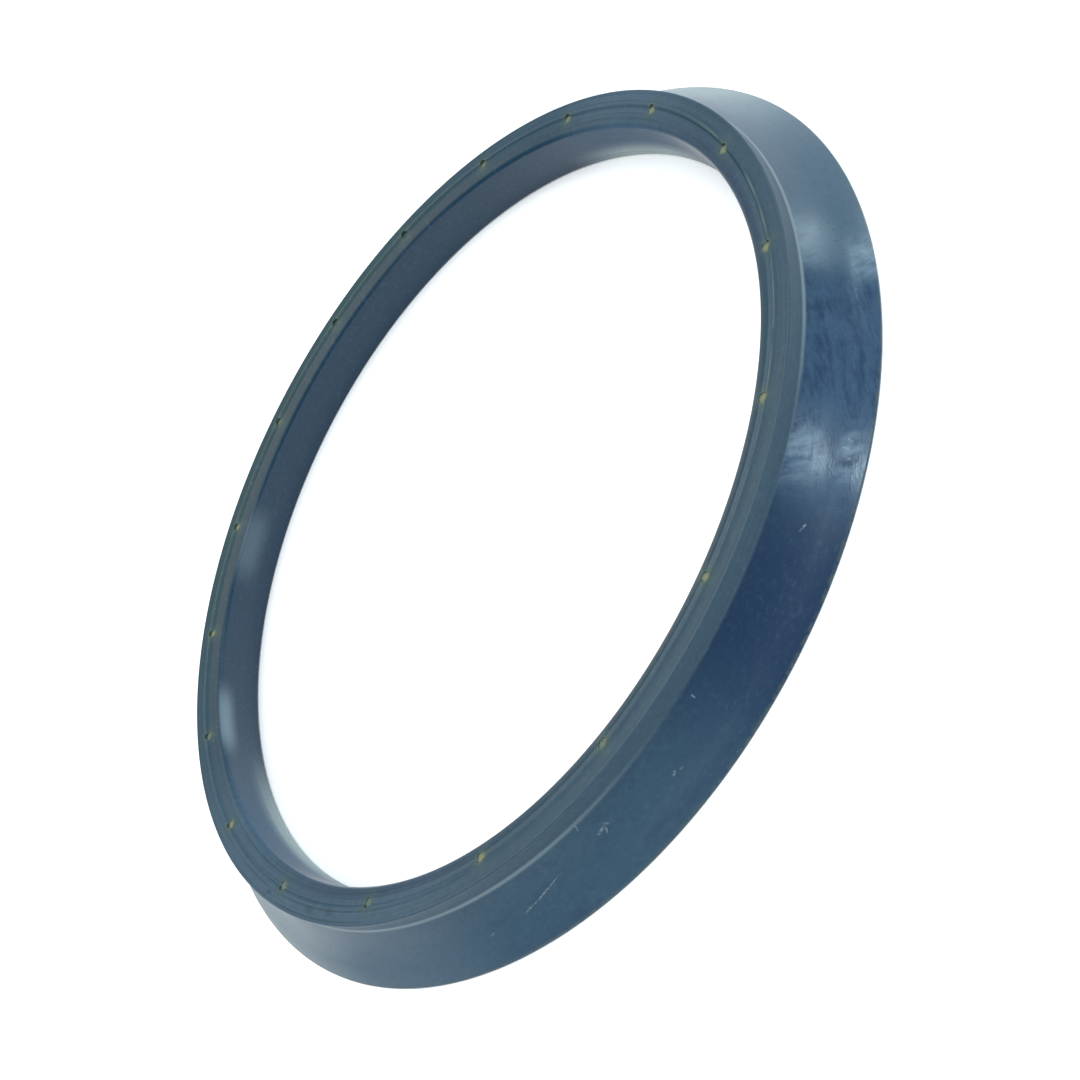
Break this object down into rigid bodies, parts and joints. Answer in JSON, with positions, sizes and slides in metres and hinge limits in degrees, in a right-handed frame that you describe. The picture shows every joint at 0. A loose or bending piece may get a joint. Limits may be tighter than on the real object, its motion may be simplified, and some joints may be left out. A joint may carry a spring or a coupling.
{
  "type": "v-ring seal",
  "caption": "One-piece elastomer ring seal with a flat grooved heel face, a flared outer lip and a straight inner lip.",
  "frame": {"origin": "centre of the ring in the plane that the lip tips stand on", "axes": "+Z along the ring's axis, from the lip tips up to the flat heel face"},
  "size_m": [0.167, 0.167, 0.0107],
  "materials": {
    "blue_rubber": "semi-gloss moulded blue elastomer, lightly worn"
  },
  "bodies": {
    "root": {"v_ring": "blue_rubber"}
  },
  "joints": []
}
